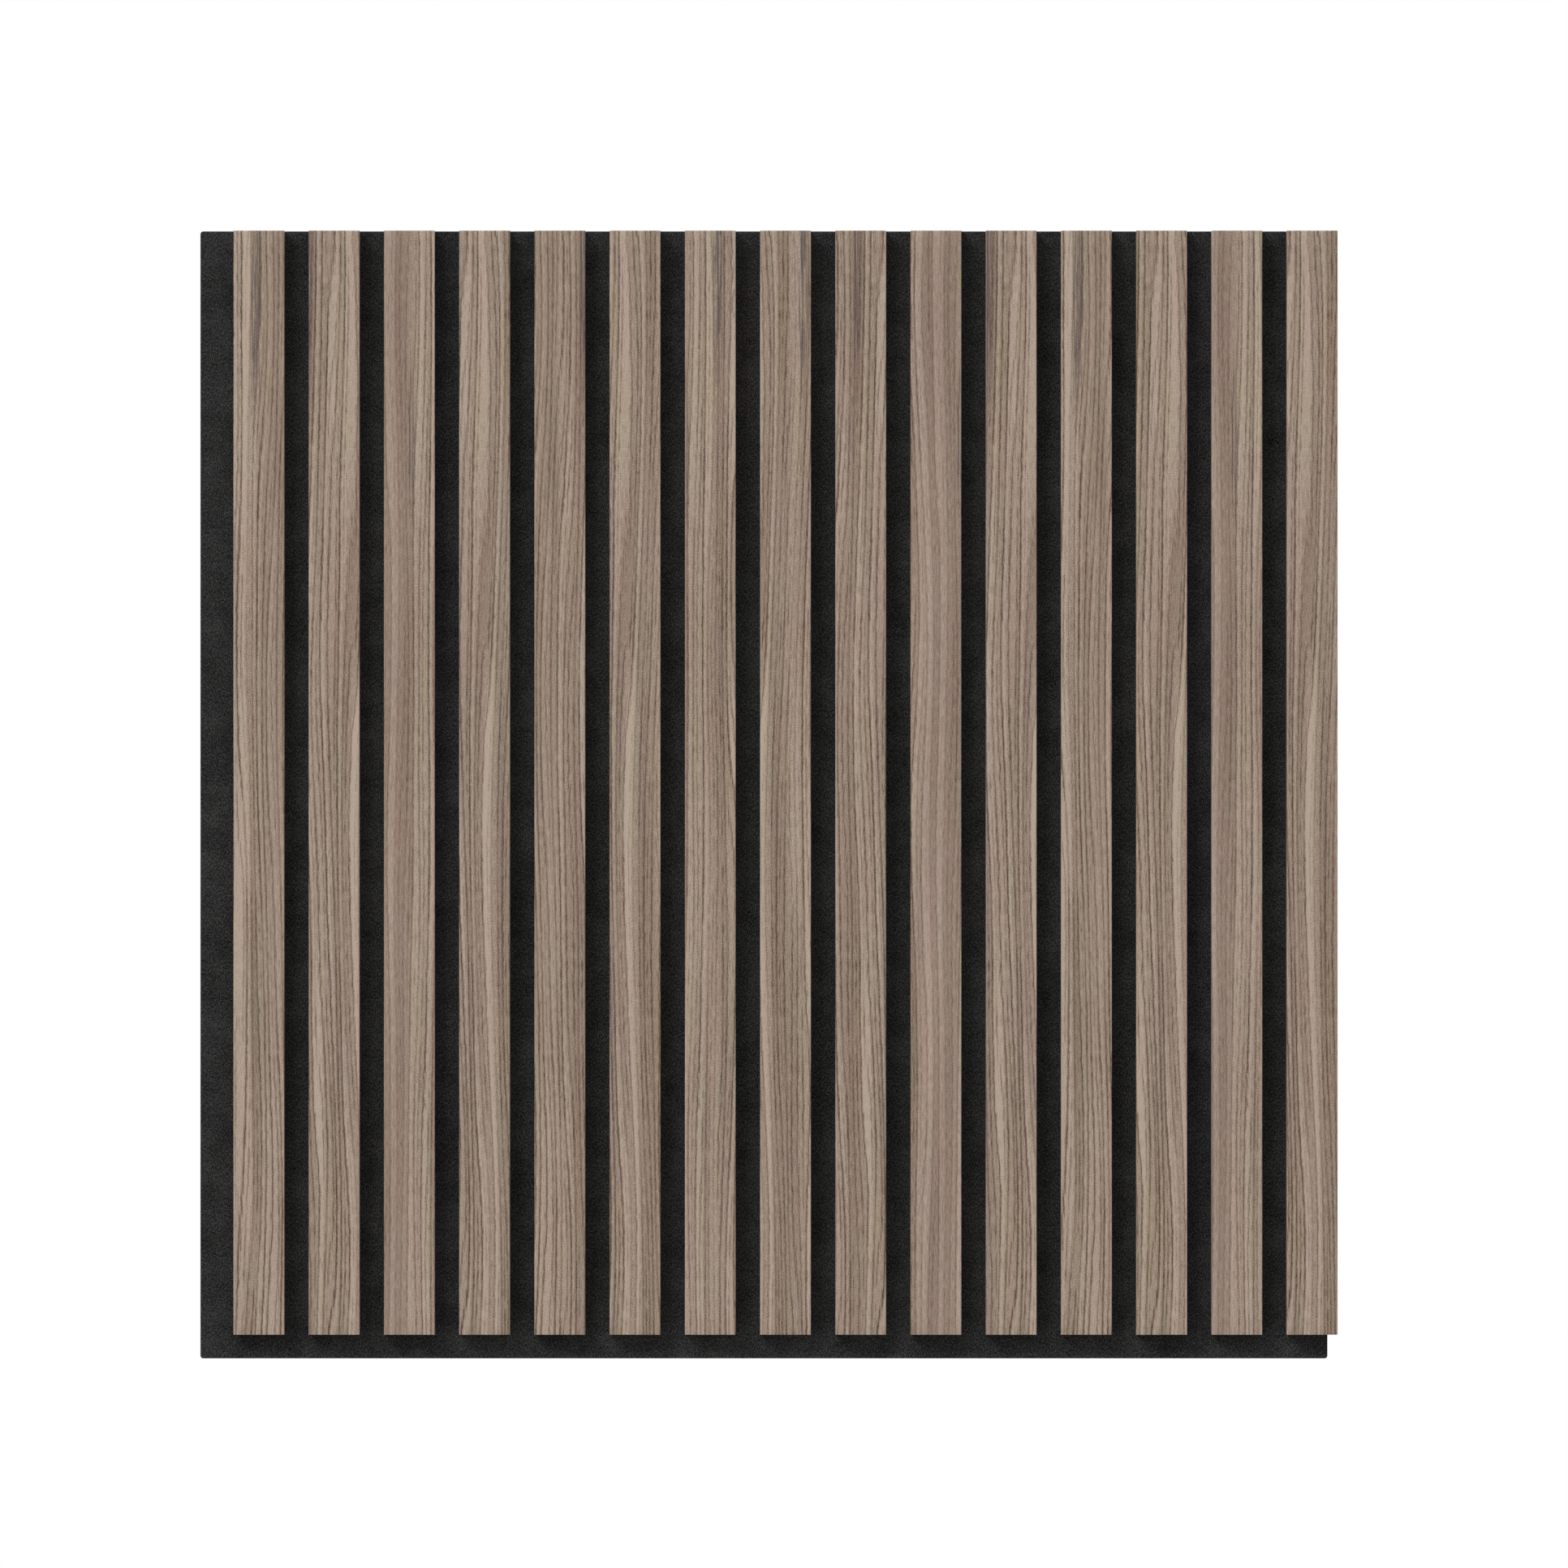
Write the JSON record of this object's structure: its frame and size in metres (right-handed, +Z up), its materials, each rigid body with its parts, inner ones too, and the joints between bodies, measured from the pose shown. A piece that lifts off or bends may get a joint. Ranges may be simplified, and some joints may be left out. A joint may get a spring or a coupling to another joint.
{
  "type": "acoustic slat wall panel",
  "caption": "Square sound-absorbing wall panel: upright wood-veneered slats on a dark felt backing, with bare felt at one side and the bottom to lap the next panel.",
  "frame": {"origin": "middle of the felt's back face, which lies on the wall", "axes": "+Z up along the slats, +X to the right as seen from the room, +Y into the wall, so the slats face -Y"},
  "size_m": [0.605, 0.021, 0.6],
  "materials": {
    "felt": "matt needled polyester felt, anthracite",
    "fibreboard": "plain fibreboard, sawn ends",
    "veneer": "matt lacquered grey-brown walnut veneer, straight grain",
    "staple_wire": "galvanised wire"
  },
  "bodies": {
    "root": {"felt_backing": "felt", "slat_core_01": "fibreboard", "slat_core_02": "fibreboard", "slat_core_03": "fibreboard", "slat_core_04": "fibreboard", "slat_core_05": "fibreboard", "slat_core_06": "fibreboard", "slat_core_07": "fibreboard", "slat_core_08": "fibreboard", "slat_core_09": "fibreboard", "slat_core_10": "fibreboard", "slat_core_11": "fibreboard", "slat_core_12": "fibreboard", "slat_core_13": "fibreboard", "slat_core_14": "fibreboard", "slat_core_15": "fibreboard", "slat_veneer_01": "veneer", "slat_veneer_02": "veneer", "slat_veneer_03": "veneer", "slat_veneer_04": "veneer", "slat_veneer_05": "veneer", "slat_veneer_06": "veneer", "slat_veneer_07": "veneer", "slat_veneer_08": "veneer", "slat_veneer_09": "veneer", "slat_veneer_10": "veneer", "slat_veneer_11": "veneer", "slat_veneer_12": "veneer", "slat_veneer_13": "veneer", "slat_veneer_14": "veneer", "slat_veneer_15": "veneer", "back_staples": "staple_wire"}
  },
  "joints": []
}
